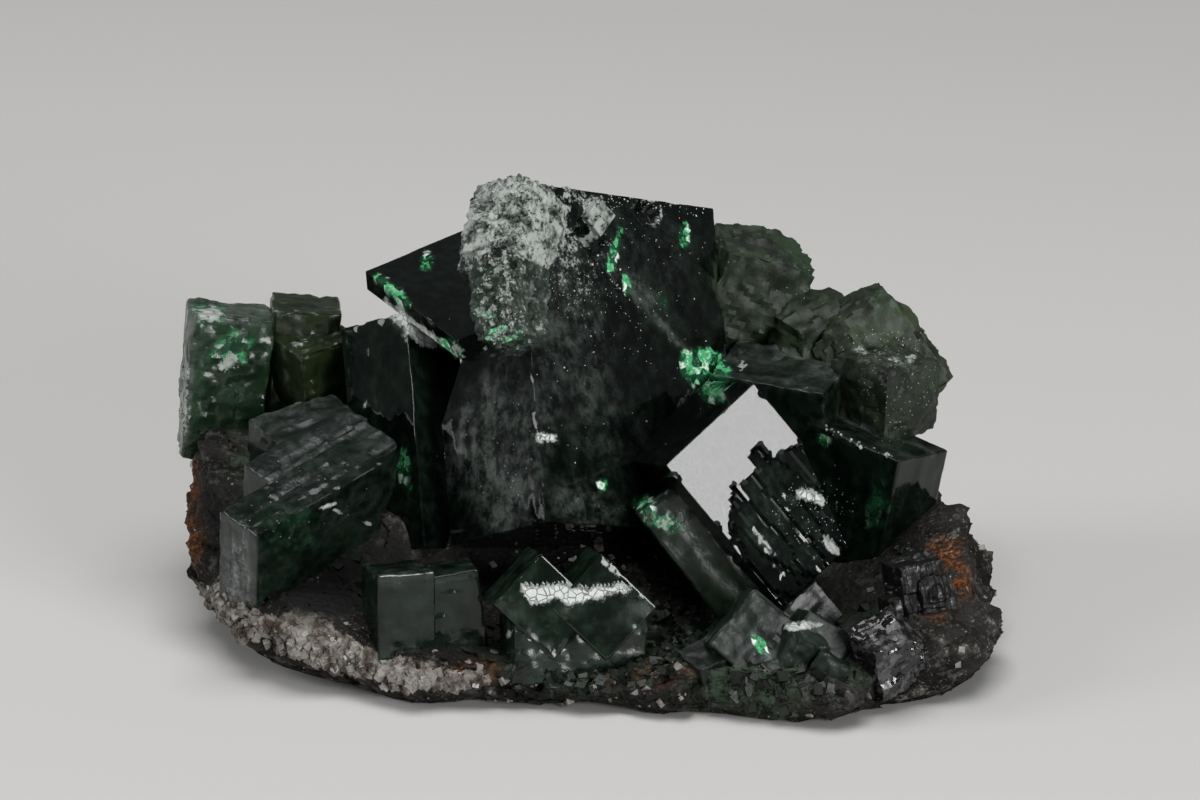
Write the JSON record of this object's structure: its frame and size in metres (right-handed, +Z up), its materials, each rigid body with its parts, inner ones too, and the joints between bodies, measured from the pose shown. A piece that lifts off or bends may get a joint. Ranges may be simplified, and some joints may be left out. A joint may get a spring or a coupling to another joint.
{
  "type": "fluorite crystal cluster",
  "caption": "Cluster of dark green glassy fluorite cubes, some tilted, frosted or etched, intergrown on a rough flat-bottomed lump of rusty grey rock.",
  "frame": {"origin": "under the middle of the cluster's bounding box, on the level it rests on", "axes": "+Z up; +X to the right along the cluster's longest side, seen from the front; +Y to its back"},
  "size_m": [0.0942, 0.062, 0.0527],
  "materials": {
    "fluorite": "deep green clear crystal, glossy faces with frosted patches",
    "fluorite_olive": "olive green cloudy crystal, satin",
    "matrix": "rough grey-brown rock with rusty stains and a pale granular crust",
    "galena": "dark metallic crystal faces",
    "calcite": "glassy grey crystal"
  },
  "bodies": {
    "root": {"fluorite_main": "fluorite", "fluorite_low_left": "fluorite", "fluorite_back_left": "fluorite_olive", "fluorite_front_twin": "fluorite", "fluorite_sugary": "fluorite", "galena": "galena", "calcite": "calcite", "matrix": "matrix"}
  },
  "joints": []
}
